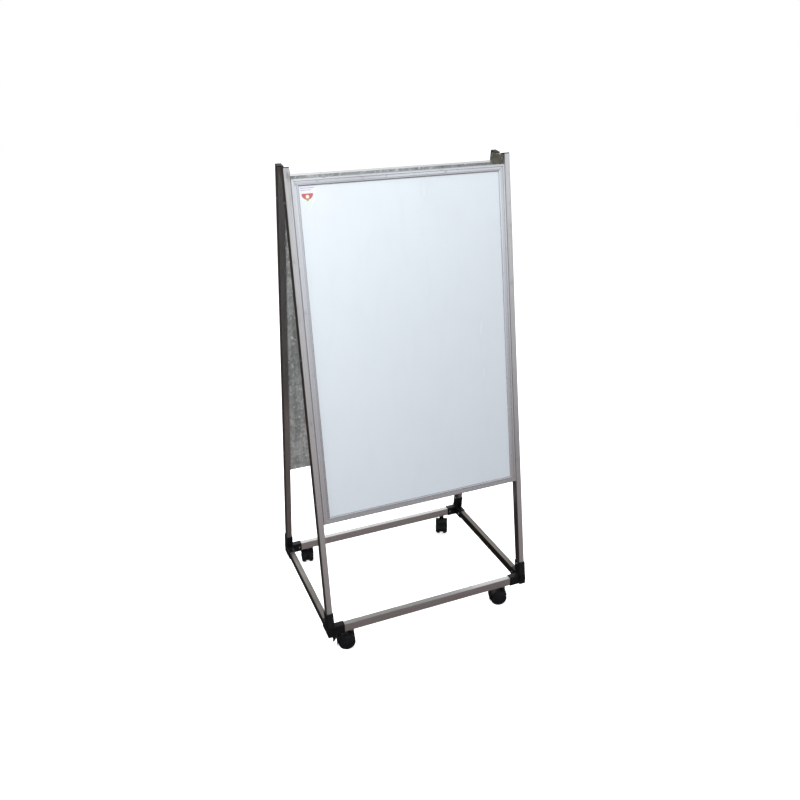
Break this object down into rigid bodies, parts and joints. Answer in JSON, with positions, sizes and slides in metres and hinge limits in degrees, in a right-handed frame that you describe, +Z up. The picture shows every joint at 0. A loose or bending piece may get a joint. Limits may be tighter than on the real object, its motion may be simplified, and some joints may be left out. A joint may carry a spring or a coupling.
{
  "type": "rolling whiteboard",
  "caption": "Double-sided whiteboard on a leaning A-frame of aluminium tube with a rectangular base and swivelling twin-wheel casters.",
  "frame": {"origin": "on the floor under the middle of the A-frame, half way between the posts", "axes": "+X to the right seen from the front board, +Y from the front board to the rear board, +Z up"},
  "size_m": [0.644, 0.5163, 1.3489],
  "materials": {
    "axle_steel": "ground",
    "cap_plastic": "moulded, fine texture",
    "connector_plastic": "moulded, satin",
    "core_board": "raw fibreboard",
    "frame_aluminium": "satin anodised extruded profile",
    "galvanised_steel": "hot dip galvanised, spangled",
    "hood_plastic": "moulded nylon, satin",
    "key_steel": "pressed, zinc plated",
    "label_paper": "printed coated paper",
    "lever_plastic": "moulded nylon",
    "plate_steel": "olive grey zinc primer, satin",
    "screw_steel": "zinc plated",
    "stem_steel": "zinc plated",
    "tube_aluminium": "satin anodised drawn tube",
    "wheel_nylon": "moulded nylon",
    "writing_enamel": "glossy enamel on sheet steel"
  },
  "bodies": {
    "frame": {"board_screws": "screw_steel", "bridge_screws": "screw_steel", "caster_stems": "stem_steel", "connector_screws": "screw_steel", "front_board_backing_sheet": "galvanised_steel", "front_board_bottom_profile": "frame_aluminium", "front_board_core": "core_board", "front_board_corner_keys": "key_steel", "front_board_label": "label_paper", "front_board_left_profile": "frame_aluminium", "front_board_right_profile": "frame_aluminium", "front_board_top_profile": "frame_aluminium", "front_board_writing_sheet": "writing_enamel", "front_left_corner_connector": "connector_plastic", "front_left_post": "tube_aluminium", "front_left_post_cap": "cap_plastic", "front_rail": "tube_aluminium", "front_right_corner_connector": "connector_plastic", "front_right_post": "tube_aluminium", "front_right_post_cap": "cap_plastic", "left_bridge_plate": "plate_steel", "left_rail": "tube_aluminium", "rear_board_backing_sheet": "galvanised_steel", "rear_board_bottom_profile": "frame_aluminium", "rear_board_core": "core_board", "rear_board_corner_keys": "key_steel", "rear_board_left_profile": "frame_aluminium", "rear_board_right_profile": "frame_aluminium", "rear_board_top_profile": "frame_aluminium", "rear_board_writing_sheet": "writing_enamel", "rear_left_corner_connector": "connector_plastic", "rear_left_post": "tube_aluminium", "rear_left_post_cap": "cap_plastic", "rear_rail": "tube_aluminium", "rear_right_corner_connector": "connector_plastic", "rear_right_post": "tube_aluminium", "rear_right_post_cap": "cap_plastic", "right_bridge_plate": "plate_steel", "right_rail": "tube_aluminium", "stem_inserts": "stem_steel"},
    "front_left_caster": {"front_left_caster_hood": "hood_plastic", "front_left_caster_axle": "axle_steel", "front_left_brake_lever_pin": "axle_steel"},
    "front_left_wheel_a": {"front_left_caster_wheel_a": "wheel_nylon"},
    "front_left_wheel_b": {"front_left_caster_wheel_b": "wheel_nylon"},
    "front_left_brake": {"front_left_brake_lever": "lever_plastic"},
    "front_right_caster": {"front_right_caster_hood": "hood_plastic", "front_right_caster_axle": "axle_steel"},
    "front_right_wheel_a": {"front_right_caster_wheel_a": "wheel_nylon"},
    "front_right_wheel_b": {"front_right_caster_wheel_b": "wheel_nylon"},
    "rear_left_caster": {"rear_left_caster_hood": "hood_plastic", "rear_left_caster_axle": "axle_steel", "rear_left_brake_lever_pin": "axle_steel"},
    "rear_left_wheel_a": {"rear_left_caster_wheel_a": "wheel_nylon"},
    "rear_left_wheel_b": {"rear_left_caster_wheel_b": "wheel_nylon"},
    "rear_left_brake": {"rear_left_brake_lever": "lever_plastic"},
    "rear_right_caster": {"rear_right_caster_hood": "hood_plastic", "rear_right_caster_axle": "axle_steel"},
    "rear_right_wheel_a": {"rear_right_caster_wheel_a": "wheel_nylon"},
    "rear_right_wheel_b": {"rear_right_caster_wheel_b": "wheel_nylon"}
  },
  "joints": [
    {"name": "front_left_swivel", "type": "hinge", "parent": "frame", "child": "front_left_caster", "pos_m": [-0.25, -0.22, 0.0575], "axis": [0, 0, 1], "continuous": true},
    {"name": "front_left_wheel_a_roll", "type": "hinge", "parent": "front_left_caster", "child": "front_left_wheel_a", "pos_m": [-0.26364, -0.21685, 0.025], "axis": [-0.225, -0.9744, 0], "continuous": true},
    {"name": "front_left_wheel_b_roll", "type": "hinge", "parent": "front_left_caster", "child": "front_left_wheel_b", "pos_m": [-0.26364, -0.21685, 0.025], "axis": [-0.225, -0.9744, 0], "continuous": true},
    {"name": "front_left_brake_press", "type": "hinge", "parent": "front_left_caster", "child": "front_left_brake", "pos_m": [-0.29107, -0.21052, 0.04125], "axis": [-0.225, -0.9744, 0], "range_deg": [0, 14]},
    {"name": "front_right_swivel", "type": "hinge", "parent": "frame", "child": "front_right_caster", "pos_m": [0.25, -0.22, 0.0575], "axis": [0, 0, 1], "continuous": true},
    {"name": "front_right_wheel_a_roll", "type": "hinge", "parent": "front_right_caster", "child": "front_right_wheel_a", "pos_m": [0.23684, -0.21521, 0.025], "axis": [-0.342, -0.9397, 0], "continuous": true},
    {"name": "front_right_wheel_b_roll", "type": "hinge", "parent": "front_right_caster", "child": "front_right_wheel_b", "pos_m": [0.23684, -0.21521, 0.025], "axis": [-0.342, -0.9397, 0], "continuous": true},
    {"name": "rear_left_swivel", "type": "hinge", "parent": "frame", "child": "rear_left_caster", "pos_m": [-0.25, 0.22, 0.0575], "axis": [0, 0, 1], "continuous": true},
    {"name": "rear_left_wheel_a_roll", "type": "hinge", "parent": "rear_left_caster", "child": "rear_left_wheel_a", "pos_m": [-0.24709, 0.23369, 0.025], "axis": [-0.9781, 0.2079, 0], "continuous": true},
    {"name": "rear_left_wheel_b_roll", "type": "hinge", "parent": "rear_left_caster", "child": "rear_left_wheel_b", "pos_m": [-0.24709, 0.23369, 0.025], "axis": [-0.9781, 0.2079, 0], "continuous": true},
    {"name": "rear_left_brake_press", "type": "hinge", "parent": "rear_left_caster", "child": "rear_left_brake", "pos_m": [-0.24124, 0.26122, 0.04125], "axis": [-0.9781, 0.2079, 0], "range_deg": [0, 14]},
    {"name": "rear_right_swivel", "type": "hinge", "parent": "frame", "child": "rear_right_caster", "pos_m": [0.25, 0.22, 0.0575], "axis": [0, 0, 1], "continuous": true},
    {"name": "rear_right_wheel_a_roll", "type": "hinge", "parent": "rear_right_caster", "child": "rear_right_wheel_a", "pos_m": [0.24386, 0.20742, 0.025], "axis": [0.8988, -0.4384, 0], "continuous": true},
    {"name": "rear_right_wheel_b_roll", "type": "hinge", "parent": "rear_right_caster", "child": "rear_right_wheel_b", "pos_m": [0.24386, 0.20742, 0.025], "axis": [0.8988, -0.4384, 0], "continuous": true}
  ]
}
